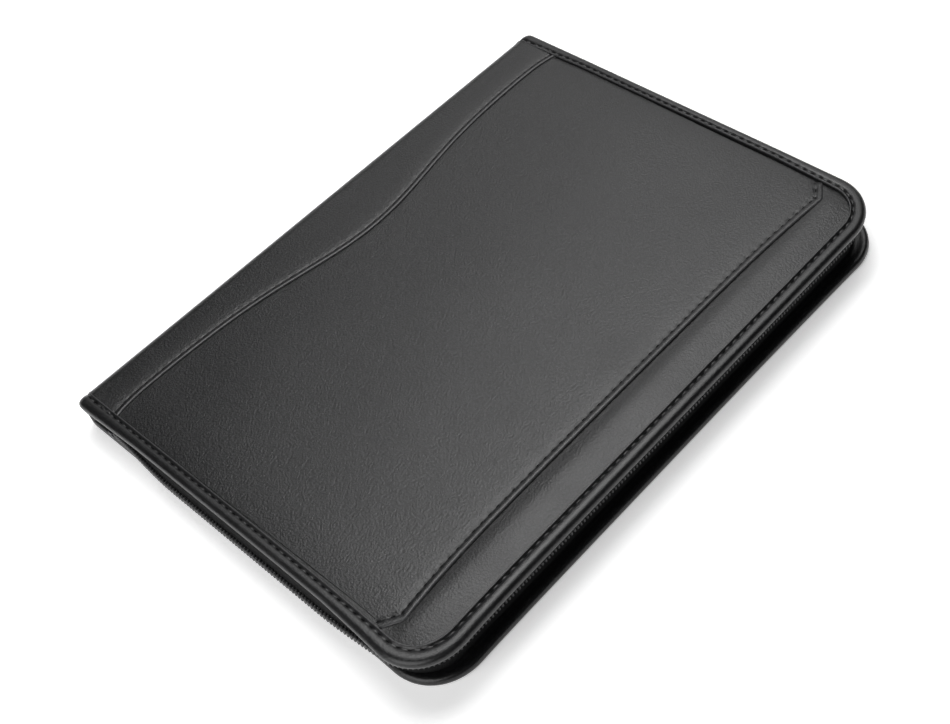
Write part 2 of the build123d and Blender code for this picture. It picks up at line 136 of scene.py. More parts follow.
skew = Matrix.Identity(4)
skew[1][0] = -BACK_SKEW / WIDTH
FRONT_TURN = pi / 2 - TILT
front_place = sheet_place(SPINE_HEIGHT, TILT, 1)
front_fold = FOLD_RADIUS * tan(FRONT_TURN / 2)
FRONT = Cover(front_place, HALF_LENGTH, FRONT_TURN, front_fold, "front_cover")
back_place = sheet_place(0, 0, -1) @ skew
BACK = Cover(back_place, HALF_LENGTH - BACK_INSET, pi / 2, FOLD_RADIUS, "back_cover")
print("front cover tilts by", round(TILT * 180 / pi, 2), "degrees")

# %% [markdown]
# Every material is made of nodes. One function turns a colour as it is written for a screen into
# the linear numbers that the renderer works with, and one adds a node with its settings and links.

# %% Helpers for materials


def linear(colour):
    """Linear colour of an sRGB hex value."""
    parts = [int(colour[i : i + 2], 16) / 255 for i in (1, 3, 5)]
    return [p / 12.92 if p <= 0.04045 else ((p + 0.055) / 1.055) ** 2.4 for p in parts] + [1.0]


def add_node(tree, kind, inputs, into=None, **settings):
    """Adds a node. An input is a value or a linked socket; the first output can go into a socket."""
    node = tree.nodes.new(kind)
    for name, value in settings.items():
        setattr(node, name, value)
    for name, value in inputs.items():
        if isinstance(value, bpy.types.NodeSocket):
            tree.links.new(value, node.inputs[name])
        else:
            node.inputs[name].default_value = value
    if into is not None:
        tree.links.new(node.outputs[0], into)
    return node


def new_material(name, sockets):
    """Material with a Principled shader, its uniform values set on the shader itself."""
    material = bpy.data.materials.new(name)
    material.use_nodes = True
    shader = material.node_tree.nodes["Principled BSDF"]
    for socket, value in sockets.items():
        shader.inputs[socket].default_value = value
    print("material", name)
    return material, material.node_tree, shader.inputs


WAVE_SCALE = 0.31  # scale of a wave texture that has one band in each unit

# %% [markdown]
# Bonded leather is ground leather fibre on a fabric, coated with polyurethane and pressed with a
# hide grain. The coat is what the eye meets: black, half matt, with flat pebbles under a millimetre
# wide and finer pores between them. The pebbles are Voronoi cells, the pores a finer noise, and a
# slow noise makes some patches duller, as handling does. Painted colour alone would look like
# plastic, so the grain works on the surface's slope first. The colour then follows the grain too:
# the tops of the pebbles are lighter, partly as rubbed wear and partly as painted highlight, and the
# valleys between them are darker, as painted shade.

# %% Black bonded leather
PEBBLE = 1.1
PORE = 0.35
HANDLED_PATCH = 45.0
GRAIN_DEPTH = 0.12
VALLEY = -0.1
PEBBLE_TOP = 0.4


def bonded_leather(name, shaded_valley_tone, lit_rubbed_top_tone, relief, dull, shiny):
    material, tree, sockets = new_material(name, {"IOR": 1.5, "Specular IOR Level": 0.5})
    here = add_node(tree, "ShaderNodeTexCoord", {}).outputs["Object"]
    cells = {"Vector": here, "Scale": 1 / (PEBBLE * MM), "Smoothness": 0.6}
    pebbles = add_node(tree, "ShaderNodeTexVoronoi", cells, feature="SMOOTH_F1")
    fine = {"Vector": here, "Scale": 1 / (PORE * MM), "Detail": 2.0}
    pores = add_node(tree, "ShaderNodeTexNoise", fine)
    mixed = {0: pebbles.outputs["Distance"], 1: -1.0, 2: pores.outputs["Fac"]}
    grain = add_node(tree, "ShaderNodeMath", mixed, operation="MULTIPLY_ADD").outputs[0]
    pressed = {"Strength": relief, "Distance": GRAIN_DEPTH * MM, "Height": grain}
    add_node(tree, "ShaderNodeBump", pressed, sockets["Normal"])
    slow = {"Vector": here, "Scale": 1 / (HANDLED_PATCH * MM), "Detail": 3.0, "Roughness": 0.6}
    patches = add_node(tree, "ShaderNodeTexNoise", slow)
    gloss = {"Value": patches.outputs["Fac"], 1: 0.3, 2: 0.7, 3: shiny, 4: dull}
    add_node(tree, "ShaderNodeMapRange", gloss, sockets["Roughness"])
    # Painted highlight and shade: the colour is lighter on the pebble tops and darker in the valleys.
    top = add_node(tree, "ShaderNodeMapRange", {"Value": grain, 1: VALLEY, 2: PEBBLE_TOP})
    tones = {0: top.outputs["Result"], 6: linear(shaded_valley_tone), 7: linear(lit_rubbed_top_tone)}
    colour = add_node(tree, "ShaderNodeMix", tones, data_type="RGBA")
    tree.links.new(colour.outputs[2], sockets["Base Color"])
    return material


cover_leather = bonded_leather("bonded_leather_black", "#050506", "#1f1f20", 0.9, 0.36, 0.28)
binding_leather = bonded_leather("bonded_leather_binding", "#0b0b0c", "#1c1c1d", 0.4, 0.38, 0.3)

# %% [markdown]
# Where leather is folded or cut, the edge is pressed and rubbed, so it is smoother and a little
# lighter than the face beside it. Its colour is set lighter still, as a painted highlight, and that
# thin light line draws each hem and lip.

# %% Rubbed leather edge, partly painted highlight
rubbed_and_highlit_edge = bonded_leather("rubbed_leather_edge_painted_highlight", "#303031", "#4a4a4b", 0.12, 0.4, 0.32)

# %% [markdown]
# Sewing thread on leather goods is bonded polyester: a tight twist that shows as fine slanted ribs.
# A wave texture across the stitch gives the ribs.

# %% Polyester thread
THREAD_TWIST = 0.45

thread, tree, sockets = new_material(
    "bonded_polyester_thread",
    {"Base Color": linear("#080808"), "Roughness": 0.8, "Specular IOR Level": 0.2},
)
here = add_node(tree, "ShaderNodeTexCoord", {}).outputs["Object"]
strands = {"Vector": here, "Scale": WAVE_SCALE / (THREAD_TWIST * MM), "Distortion": 0.4}
twist = add_node(tree, "ShaderNodeTexWave", strands, bands_direction="DIAGONAL")
ribs = {"Strength": 0.4, "Distance": 0.08 * MM, "Height": twist.outputs["Fac"]}
add_node(tree, "ShaderNodeBump", ribs, sockets["Normal"])

# %% [markdown]
# A piece is finished in one place: the drawing is laid on its cover, faces are turned outwards,
# edges sharper than a set angle stay sharp, its materials are added, it is attached to the body it
# moves with, and the CAD nodes that it stands for are hidden.

# %% Helpers for pieces
SHARP = radians(50)
ROUND = {"profile": 0.5, "material": -1}


def finish_piece(name, bm, place, materials, body=None, replaces=()):
    bmesh.ops.transform(bm, matrix=place, verts=bm.verts)
    bmesh.ops.recalc_face_normals(bm, faces=bm.faces)
    mesh = bpy.data.meshes.new(name)
    bm.to_mesh(mesh)
    bm.free()
    mesh.shade_smooth()
    mesh.set_sharp_from_angle(angle=SHARP)
    for material in materials:
        mesh.materials.append(material)
    piece = bpy.data.objects.new(name, mesh)
    bpy.context.scene.collection.objects.link(piece)
    if body:
        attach(piece, body)
    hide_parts(*replaces)
    print("piece", name, "with", len(mesh.polygons), "faces")
    return piece


def carry(bm, ring, travel, count):
    """Extrudes a ring of edges along a straight run, in equal steps."""
    step = Vector(travel) / count
    straight = {"cent": (0, 0, 0), "axis": (0, 0, 1), "angle": 0}
    return bmesh.ops.spin(bm, geom=ring, dvec=step, steps=count, **straight)["geom_last"]


def turn(bm, ring, centre, axis, angle, count):
    """Extrudes a ring of edges round an axis."""
    arc = {"cent": centre, "axis": axis, "angle": angle}
    return bmesh.ops.spin(bm, geom=ring, dvec=(0, 0, 0), steps=count, **arc)["geom_last"]


def start_ring(bm, points, closed=True):
    """Vertices at the given points, joined by edges."""
    verts = [bm.verts.new(p) for p in points]
    ends = verts[1:] + verts[:1] if closed else verts[1:]
    return verts + [bm.edges.new(pair) for pair in zip(verts, ends)]


def repeat_shape(bm, shape, frames, material_index):
    """Copies a small shape into a piece at each of the given frames."""
    pattern = bpy.data.meshes.new("pattern")
    shape.to_mesh(pattern)
    shape.free()
    for polygon in pattern.polygons:
        polygon.material_index = material_index
    for at in frames:
        copy = pattern.copy()
        copy.transform(at)
        bm.from_mesh(copy)
        bpy.data.meshes.remove(copy)
    bpy.data.meshes.remove(pattern)


def mirror_half(bm):
    """Doubles a half that ends at the middle of the fore edge."""
    geom = bm.verts[:] + bm.edges[:] + bm.faces[:]
    bmesh.ops.mirror(bm, geom=geom, matrix=Matrix.Identity(4), merge_dist=0.001, axis="Y")


def cap(bm, ring):
    bmesh.ops.contextual_create(bm, geom=[e for e in ring if isinstance(e, bmesh.types.BMEdge)])


# %% [markdown]
# The binding is a strip of leather that is folded round the raw edge of each cover and sewn down.
# Over the cord inside it makes a roll, the seam pulls it into a groove, and its cut edge stands up
# as a thin lip. Its section is drawn once, with the needle holes as points that sink by a set
# depth, and is then carried round the cover: straight runs are extruded and corners are spun. A
# curve with a bevel would give the same tube, but not the sunk stitches.

# %% Section of the binding: inset from the edge, height, depth of a needle hole
STITCH = 5.4
RINGS = 4
SINK = (1.0, 0.85, 0.0, 0.0)
RIM_START = 12.0
SEAM = 6.5
RIM_SECTION = (
    (8.2, -0.85, 0), (8.35, -0.25, 0), (8.1, 0.12, 0), (7.75, 0.2, 0),
    (7.35, 0.02, 0.04), (6.95, -0.32, 0.36), (6.5, -0.46, 0.6), (6.05, -0.32, 0.36),
    (5.6, -0.1, 0.04), (4.6, 0.08, 0), (3.2, 0.1, 0), (2.0, -0.08, 0),
    (1.0, -0.55, 0), (0.3, -1.4, 0), (0, -2.6, 0), (0.2, -3.9, 0),
    (0.8, -4.9, 0), (1.8, -5.4, 0), (3.2, -5.35, 0), (4.2, -4.95, 0),
    (5.4, -4.65, 0), (6.5, -4.58, 0), (7.9, -4.68, 0), (8.5, -4.45, 0),
    (8.55, -3.7, 0),
)
THREAD_RADIUS = 0.5
THREAD_HALF = 1.5
THREAD_SUNK = 0.1
LIP = 3
SEWN = [binding_leather, thread, rubbed_and_highlit_edge]


def sew(bm, places):
    """Lays a short thread at each place, which has a point, the seam's direction and the way up."""
    shape = bmesh.new()
    bmesh.ops.create_uvsphere(shape, u_segments=6, v_segments=4, radius=1)
    frames = []
    for point, along, up in places:
        across = along.cross(up) * THREAD_RADIUS
        at = Matrix((across, up * THREAD_RADIUS, along * THREAD_HALF)).transposed().to_4x4()
        at.translation = point - up * THREAD_SUNK
        frames.append(at)
    repeat_shape(bm, shape, frames, 1)


def sink_stitches(bm, hole, per_ring):
    """Sinks the marked points of every ring that falls on a stitch, and lays its thread there."""
    bm.normal_update()
    bm.verts.index_update()
    deepest = max(vert[hole] for vert in bm.verts)
    seam = {}
    for vert in bm.verts:
        ring = vert.index // per_ring
        vert.co -= vert.normal * vert[hole] * SINK[ring % RINGS]
        if vert[hole] == deepest:
            seam[ring] = (vert.co.copy(), vert.normal.copy())
    places = []
    for ring, (point, up) in seam.items():
        if ring % RINGS == 0 and ring + 1 in seam:
            other = seam[ring + 1][0]
            places.append(((point + other) / 2, (other - point).normalized(), up))
    sew(bm, places)


def lighten_lip(bm, per_ring):
    """Gives the first points of each ring, which are the lip, the lighter rubbed finish, partly a painted
    highlight.
    """
    bm.verts.index_update()
    for face in bm.faces:
        if all(vert.index % per_ring <= LIP for vert in face.verts):
            face.material_index = 2


def mark_holes(bm, ring, section):
    hole = bm.verts.layers.float["hole"]
    for vert, (_, _, depth) in zip(ring, section):
        vert[hole] = depth


# %% [markdown]
# The case is soft, so no edge lies quite straight in the photograph. The near roll and the far seam
# of the front are drawn in along their middle, and three of the fore corners are drawn out. One
# function moves the points of a drawing that way, so that every layer of a cover follows. Weights
# painted by hand would do the same, but not for each layer alike.

# %% Edges as they lie
Corner = namedtuple("Corner", "side out tightness")
FRONT_CORNERS = (Corner(-1, 4.0, 8),)
BACK_CORNERS = (Corner(-1, 1.6, 2), Corner(1, 2.2, 8))
NEAR_DRAWN_IN = 1.2
FAR_DRAWN_IN = 1.6
DRAWN_REACH = 60.0
DRAWN_EASE = 40.0
UNDERSIDE = -3.5


def draw_corners(bm, half, corners):
    """Draws fore corners out; a corner's side is the sign of v, and tightness keeps it local."""
    for vert in bm.verts:
        for corner in corners:
            near = max(0, corner.side * vert.co.y / half) * max(0, vert.co.x / WIDTH)
            vert.co.x += corner.out * near**corner.tightness
            vert.co.y += corner.out * near**corner.tightness * corner.side


def draw_edges(bm):
    """Draws the front's near roll and far seam in, along the middle of those edges."""
    for vert in bm.verts:
        u, v, w = vert.co
        inset = FRONT.half - abs(v)
        rolled = min(1, max(0, inset / SEAM))
        ease = min(1, (u - RIM_START) / DRAWN_EASE, (WIDTH - CORNER_RADIUS - u) / DRAWN_EASE)
        if ease <= 0:
            continue
        if v < 0:
            vert.co.y += NEAR_DRAWN_IN * (1 - rolled) * ease
        elif w > UNDERSIDE:
            fade = max(0, 1 - max(0, inset - SEAM) / DRAWN_REACH)
            vert.co.y += FAR_DRAWN_IN * rolled * fade * ease


def settle(bm, cover):
    """Moves a layer of a cover to where it lies."""
    if cover is FRONT:
        draw_edges(bm)
        draw_corners(bm, FRONT.half, FRONT_CORNERS)
    else:
        draw_corners(bm, BACK.half, BACK_CORNERS)


# %% Bindings of the covers


def rim(name, cover, replaces):
    bm = bmesh.new()
    hole = bm.verts.layers.float.new("hole")
    ring = start_ring(bm, [(RIM_START, d - cover.half, w) for d, w, _ in RIM_SECTION])
    mark_holes(bm, ring, RIM_SECTION)
    cap(bm, ring)
    side = WIDTH - CORNER_RADIUS - RIM_START
    corner = (CORNER_RADIUS - SEAM) * pi / 2
    middle_v = cover.half - CORNER_RADIUS
    counts = [RINGS * round(run / STITCH) for run in (side, corner, middle_v)]
    middle = (WIDTH - CORNER_RADIUS, -middle_v, 0)
    ring = carry(bm, ring, (side, 0, 0), counts[0])
    ring = turn(bm, ring, middle, (0, 0, 1), pi / 2, counts[1])
    carry(bm, ring, (0, middle_v, 0), counts[2])
    bmesh.ops.recalc_face_normals(bm, faces=bm.faces)
    lighten_lip(bm, len(RIM_SECTION))
    sink_stitches(bm, hole, len(RIM_SECTION))
    mirror_half(bm)
    settle(bm, cover)
    finish_piece(name, bm, cover.place, SEWN, cover.body, replaces)


rim("front_rim", FRONT, ["front_binding"])
rim("back_rim", BACK, ["back_binding"])

# %% [markdown]
# At the spine the binding goes on round the fold, and it has to bend when the case opens. So this
# stretch is a piece of its own that blends between the two bodies of the hinge: the points near the
# spine follow the spine, those near the cover follow the cover, and those between turn part of the
# way. Two rigid halves would leave a split in the fold. The ends draw in as they go round, so the
# corners of the spine are soft.

# %% Binding over the folds
FOLD_RINGS = 12
SPINE_STRAIGHT = SPINE_HEIGHT - FOLD_RADIUS * (1 + 1 / cos(TILT) - tan(TILT))
SPINE_HALF = (FRONT.half + BACK.half) / 2
BEND_MARGIN = 0.12
END_ROUND = 2.2


def round_fold(bm, ring, cover, shift, steps):
    """Carries a ring from the cover's flat part round its fold to the middle of the spine."""
    first = ring
    down = Vector((-cos(cover.turn), 0, -sin(cover.turn))) * SPINE_STRAIGHT / 2
    centre = (cover.fold_start, 0, -FOLD_RADIUS)
    ring = carry(bm, ring, (cover.fold_start - RIM_START, 0, 0), steps)
    ring = turn(bm, ring, centre, (0, 1, 0), -cover.turn, FOLD_RINGS)
    ring = carry(bm, ring, down + Vector((0, shift, 0)), steps - 1)
    cap(bm, first)
    cap(bm, ring)


def bend_at_fold(piece, cover):
    """Lets a piece turn with the hinge at the cover's fold."""
    on_cover = cover.place @ Vector((cover.fold_start, 0, 0))
    middle = cover.place @ Vector((cover.fold_start, 0, -FOLD_RADIUS))
    on_spine = Vector((CAD_LOW.x, 0, middle.z))
    reach = on_cover - on_spine
    near, far = on_spine + reach * BEND_MARGIN, on_cover - reach * BEND_MARGIN
    if cover is FRONT:
        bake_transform(piece, "spine", "front_cover", start=near, end=far)
    else:
        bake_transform(piece, "back_cover", "spine", start=far, end=near)


def fold_binding(name, cover, replaces):
    bm = bmesh.new()
    hole = bm.verts.layers.float.new("hole")
    for side in (-1, 1):
        ring = start_ring(bm, [(RIM_START, side * (cover.half - d), w) for d, w, _ in RIM_SECTION])
        mark_holes(bm, ring, RIM_SECTION)
        round_fold(bm, ring, cover, side * (SPINE_HALF - cover.half), RINGS)
    for vert in bm.verts:
        past = max(0, cover.fold_start - vert.co.x) / FOLD_RADIUS
        vert.co.y -= END_ROUND * past * past * (1 if vert.co.y > 0 else -1)
    bmesh.ops.recalc_face_normals(bm, faces=bm.faces)
    lighten_lip(bm, len(RIM_SECTION))
    sink_stitches(bm, hole, len(RIM_SECTION))
    piece = finish_piece(name, bm, cover.place, SEWN, None, replaces)
    bend_at_fold(piece, cover)


fold_binding("front_fold_binding", FRONT, ["spine_bindings"])
fold_binding("back_fold_binding", BACK, ["spine_bindings"])

# %% [markdown]
# The leather of the spine is one sheet that runs round both folds. Each half is swept round its fold
# in the same way as the binding, from a thin closed section, and both halves meet at the middle of
# the spine, where the sheet never bends.

# %% Leather over the spine
LIP_TUCK = 7.6
SHEET_TOP = -0.12
SHEET_UNDER = -0.8
SPINE_STEPS = 48


def fold_skin(name, cover, replaces):
    bm = bmesh.new()
    half = cover.half - LIP_TUCK
    across = [half * (2 * i / SPINE_STEPS - 1) for i in range(SPINE_STEPS + 1)]
    section = [(RIM_START, v, SHEET_TOP) for v in across]
    section += [(RIM_START, v, SHEET_UNDER) for v in reversed(across)]
    round_fold(bm, start_ring(bm, section), cover, 0, RINGS)
    piece = finish_piece(name, bm, cover.place, [cover_leather], None, replaces)
    bend_at_fold(piece, cover)
    return piece


front_fold_skin = fold_skin("front_fold_skin", FRONT, ["spine_leather"])
back_fold_skin = fold_skin("back_fold_skin", BACK, ["spine_leather"])

# %% [markdown]
# The front has three layers. A panel from the spine ends in a wave across the cover, the pocket panel
# comes out from under it, and the base shows as a strip along the fore edge. A panel with one sewn
# edge is a grid: its first columns follow the edge and take the profile of the hem, which is a fold
# that stands up, a seam that pulls the leather down, and a slow rise beyond it. The other columns
# spread over the rest of the sheet, with a slow noise so that no leather lies dead flat.

# %% Panels with a hem
UNDULATION = 60.0
PANEL_HALF = FRONT.half - LIP_TUCK
END_DIP = 0.7
END_DIP_REACH = 22.0
WAVE_HEM = (
    (0.35, -0.75, 0.0), (0.0, -0.4, 0.0), (0.15, -0.05, 0.0), (0.6, 0.16, 0.0),
    (1.3, 0.2, 0.0), (2.1, 0.1, 0.0), (2.6, -0.12, 0.2), (3.1, -0.26, 0.4),
    (3.6, -0.2, 0.2), (4.6, -0.12, 0.0), (7.0, -0.03, 0.0), (11.0, 0.03, 0.0),
)
MOUTH_HEM = (
    (0.8, -1.1, 0.0), (0.1, -0.75, 0.0), (0.0, -0.3, 0.0), (0.4, 0.06, 0.0),
    (1.1, 0.25, 0.0), (2.3, 0.14, 0.0), (3.1, -0.1, 0.2), (3.7, -0.26, 0.4),
    (4.3, -0.2, 0.2), (5.6, -0.1, 0.0), (9.0, 0.0, 0.0), (14.0, 0.06, 0.0),
)
WAVE_EDGE = 28.3
WAVE_LEAN = 0.008
WAVE_CREST = 15.3
WAVE_MIDDLE = 5.0
WAVE_REACH = 65.0
WAVE_FLARE = 2.6
FLARE_POWER = 18


def wave_edge(v):
    """Distance from the spine of the panel's edge: one broad wave, flared at the two ends."""
    crest = WAVE_CREST * exp(-(((v - WAVE_MIDDLE) / WAVE_REACH) ** 2))
    return WAVE_EDGE + WAVE_LEAN * v + crest + WAVE_FLARE * (v / PANEL_HALF) ** FLARE_POWER


STRIP_WIDTH = 28.0
MOUTH = WIDTH - STRIP_WIDTH
MOUTH_BOW = 4.2
MOUTH_CUT = 152.2
MOUTH_SLANT = 0.72


def mouth_edge(v):
    """Distance from the spine of the pocket's mouth, which bows in and is cut aslant at its ends."""
    past = abs(v) - MOUTH_CUT
    if past > 0:
        return MOUTH - MOUTH_SLANT * past
    return MOUTH - MOUTH_BOW * (1 - (v / MOUTH_CUT) ** 4)


def swell(u, v, height):
    """Slow rise and fall of leather over foam."""
    return height * noise.noise(Vector((u / UNDULATION, v / UNDULATION, 0.5)))


def end_dip(u, v):
    """How far the padded leather drops towards the bindings at the two ends of the front."""
    near = max(0, 1 - (PANEL_HALF - abs(v)) / END_DIP_REACH)
    return END_DIP * near * near * min(1, (u - RIM_START) / END_DIP_REACH)


def thicken(bm, drop):
    """Closes a sheet with a second face below it."""
    made = bmesh.ops.extrude_face_region(bm, geom=bm.faces[:], use_keep_orig=True)
    lower = [v for v in made["geom"] if isinstance(v, bmesh.types.BMVert)]
    bmesh.ops.translate(bm, verts=lower, vec=(0, 0, -drop))


MITRE = 2.0
HEM_TURN = 5.0
CALM_REACH = 12.0
POCKET_START = 18.0
POCKET_LEVEL = -0.82
Panel = namedtuple("Panel", "place body half edge start level lift side hem columns swelling")


def hemmed_panel(name, panel, material, replaces):
    """Sheet from a hemmed edge to a start line; lift is -1 on a cover's inside.

    The hem is set off square to its edge, so that it turns with a slanted end.
    """
    bm = bmesh.new()
    hem = panel.hem
    rows = RINGS * round(2 * panel.half / STITCH)
    columns = len(hem) - 1 + panel.columns
    deepest = max(depth for _, _, depth in hem)
    bmesh.ops.create_grid(bm, x_segments=columns, y_segments=rows, size=1)
    seam = {}
    for face in bm.faces:
        # The lip's faces get the rubbed edge colour, which is partly a painted highlight.
        if (face.calc_center_median().x + 1) / 2 * columns < LIP + 1:
            face.material_index = 2
    for vert in bm.verts:
        column = round((vert.co.x + 1) / 2 * columns)
        row = round((vert.co.y + 1) / 2 * rows)
        v = panel.half * vert.co.y
        from_edge, height, hole = hem[min(column, len(hem) - 1)]
        reach = abs(panel.edge(v) - panel.start)
        slope = (panel.edge(v + MITRE) - panel.edge(v - MITRE)) / (2 * MITRE)
        square = min(from_edge, HEM_TURN) / hypot(1, slope)
        lean = -panel.side * slope * square
        from_edge += square - min(from_edge, HEM_TURN)
        if column >= len(hem):
            share = (column - len(hem) + 1) / panel.columns
            from_edge += (reach - from_edge) * share
            height *= 1 - share
            lean *= 1 - share
        u = panel.edge(v) + panel.side * from_edge
        v += lean
        calm = min(1, from_edge / CALM_REACH, (reach - from_edge) / CALM_REACH)
        rise = height - hole * SINK[row % RINGS] + swell(u, v, panel.swelling) * calm
        if panel.lift > 0:
            rise -= end_dip(u, v)
        vert.co = (u, v, panel.level + panel.lift * rise)
        if hole == deepest:
            seam[row] = vert.co.copy()
    thicken(bm, panel.lift * (SHEET_TOP - SHEET_UNDER))
    up = Vector((0, 0, panel.lift))
    pairs = [(seam[r], seam[r + 1]) for r in range(0, rows, RINGS)]
    sew(bm, [((a + b) / 2, (b - a).normalized(), up) for a, b in pairs])
    if panel.lift > 0:
        settle(bm, FRONT)
    finishes = [material, thread, rubbed_and_highlit_edge]
    return finish_piece(name, bm, panel.place, finishes, panel.body, replaces)


across_front = (FRONT.place, "front_cover", PANEL_HALF)
side_panel = Panel(*across_front, wave_edge, RIM_START, SHEET_TOP, 1, -1, WAVE_HEM, 6, 0.1)
wave_panel = hemmed_panel("spine_side_panel", side_panel, cover_leather, ["wave_panel"])
pocket = Panel(*across_front, mouth_edge, POCKET_START, POCKET_LEVEL, 1, -1, MOUTH_HEM, 24, 0.25)
pocket_panel = hemmed_panel("outside_pocket", pocket, cover_leather, ["front_pocket_panel"])

# %% [markdown]
# The base leather of the front lies over foam, so the strip that shows swells between the binding and
# the pocket's mouth. The back is one plain sheet with no pocket. Both are grids whose corners are
# pulled in to the rounded outline, and the binding's lip hides that edge.

# %% Base of the front, and the back
UNDER_LIP = 6.0
SHEET_COLUMNS = 72
SHEET_ROWS = 96
LEATHER_THICKNESS = 0.7


def from_rim(u, v, half):
    """Distance inwards from a cover's outline, with its two rounded corners."""
    over_u = u - (WIDTH - CORNER_RADIUS)
    over_v = abs(v) - (half - CORNER_RADIUS)
    if over_u > 0 and over_v > 0:
        return CORNER_RADIUS - hypot(over_u, over_v)
    return min(WIDTH - u, half - abs(v))


def pull_in(u, v, half, inset):
    """Moves a point that is outside the rounded corner on to it."""
    middle = Vector((WIDTH - CORNER_RADIUS, (half - CORNER_RADIUS) * (1 if v > 0 else -1)))
    offset = Vector((u, v)) - middle
    radius = CORNER_RADIUS - inset
    if offset.x > 0 and offset.y * middle.y > 0 and offset.length > radius:
        offset = offset.normalized() * radius
    return middle + offset


STRIP_RISE = 1.25
STRIP_TOP = 24.0
STRIP_TO_RIM = 18.0
STRIP_TO_MOUTH = 6.5
STRIP_ENDS = 10.0
Sheet = namedtuple("Sheet", "cover place inset level thickness crown swelling")


def strip_crown(u, v):
    """Rise of the front's padded strip, from the binding over to the pocket's mouth."""
    from_fore = WIDTH - u
    reach = STRIP_TO_RIM if from_fore < STRIP_TOP else STRIP_TO_MOUTH
    ends = min(1, max(0, (from_rim(u, v, FRONT.half) - UNDER_LIP) / STRIP_ENDS))
    return STRIP_RISE * ends * max(0, 1 - ((from_fore - STRIP_TOP) / reach) ** 2)


def no_crown(u, v):
    return 0


def cover_sheet(name, sheet, material, replaces):
    """Rounded sheet over a whole cover; a negative thickness makes an inside face."""
    bm = bmesh.new()
    half = sheet.cover.half - sheet.inset
    bmesh.ops.create_grid(bm, x_segments=SHEET_COLUMNS, y_segments=SHEET_ROWS, size=1)
    for vert in bm.verts:
        u = RIM_START + (WIDTH - sheet.inset - RIM_START) * (vert.co.x + 1) / 2
        u, v = pull_in(u, half * vert.co.y, sheet.cover.half, sheet.inset)
        calm = min(1, (u - RIM_START) / CALM_REACH)
        rise = sheet.crown(u, v) + swell(u, v, sheet.swelling)
        vert.co = (u, v, sheet.level + rise * calm)
    thicken(bm, sheet.thickness)
    if sheet.place is sheet.cover.place:
        settle(bm, sheet.cover)
    return finish_piece(name, bm, sheet.place, [material], sheet.cover.body, replaces)


BASE_LEVEL = -2.0
base = Sheet(FRONT, FRONT.place, UNDER_LIP, BASE_LEVEL, LEATHER_THICKNESS, strip_crown, 0.1)
front_base = cover_sheet("front_base", base, cover_leather, ["front_leather"])
plain = Sheet(BACK, BACK.place, UNDER_LIP, SHEET_TOP, LEATHER_THICKNESS, no_crown, 0.05)
back_sheet = cover_sheet("back_sheet", plain, cover_leather, ["back_leather"])

# %% [markdown]
# The zipper has two woven polyester tapes. Each is sewn under the binding of one cover and stands up
# to the middle of the gap. The weave is a fine twill, which shows as slanted ribs half a millimetre
# apart: two wave textures, one for each direction of the yarn, with a little noise against evenness.
# The tape is coloured near black, darker than black cloth is, as painted shade for the deep gap.

# %% Woven zipper tape
YARN = 0.5


def woven(name, tone, yarn, relief, rough):
    cloth = {"Base Color": linear(tone), "Roughness": rough, "Specular IOR Level": 0.3}
    material, tree, sockets = new_material(name, {**cloth, "Sheen Weight": 0.03})
    here = add_node(tree, "ShaderNodeTexCoord", {}).outputs["Object"]
    bands = {"Vector": here, "Scale": WAVE_SCALE / (yarn * MM), "Distortion": 0.6}
    warp = add_node(tree, "ShaderNodeTexWave", bands, bands_direction="X")
    weft = add_node(tree, "ShaderNodeTexWave", bands, bands_direction="DIAGONAL")
    both = {0: warp.outputs["Fac"], 1: weft.outputs["Fac"]}
    cross = add_node(tree, "ShaderNodeMath", both, operation="ADD")
    ribs = {"Strength": relief, "Distance": 0.15 * MM, "Height": cross.outputs[0]}
    add_node(tree, "ShaderNodeBump", ribs, sockets["Normal"])
    return material


# Near-black tone: black cloth, darkened further as painted shade for the gap.
tape_weave_painted_shade = woven("woven_polyester_tape_in_painted_shade", "#050506", YARN, 0.6, 0.85)

# %% [markdown]
# The tapes are drawn in the middle of the gap, on a plane halfway between the two covers, because
# the gap grows from the spine to the fore edge. Half of a tape is swept from the spine end to the
# middle of the fore edge with its height as a share from 0 to 1, the share is then stretched to the
# gap at that place, and the other half is its mirror image. At the near end the closed zip stands
# out past the binding, as cloth that is a little too long does.

# %% Zipper tapes
ZIP_PLACE = sheet_place(SPINE_HEIGHT / 2, TILT / 2, 1)
ROLL_HEIGHT = 5.4
TAPE_THICKNESS = 0.6
TAPE_INSET_ENDS = 2.85
TAPE_INSET_FORE = 7.3
TAPE_START = 9.0
TAPE_EDGE = 0.55
TAPE_SEWN_IN = 1.5
TAPE_BOW = 0.5
BULGE = 2.9
BULGE_ENDS = (26.0, 80.0, 190.0, 250.0)
TAPE_SHARES = 6
TAPE_STEPS = (36, 16, 24)
ZIP_RADIUS = 24.0
ZIP_CORNER = Vector(
    (WIDTH - TAPE_INSET_FORE - ZIP_RADIUS, -(HALF_LENGTH - TAPE_INSET_ENDS - ZIP_RADIUS), 0)
)


def half_gap(u):
    """Half of the free height between the two bindings."""
    return (SPINE_HEIGHT + (FORE_HEIGHT - SPINE_HEIGHT) * u / WIDTH) / 2 - ROLL_HEIGHT


def bulge(u, v):
    """How far the closed zip stands out at the near end, away from the slider."""
    if v > 0:
        return 0
    start, full, easing, end = BULGE_ENDS
    share = min((u - start) / (full - start), (end - u) / (end - easing))
    share = min(max(share, 0), 1)
    return BULGE * share * share * (3 - 2 * share)


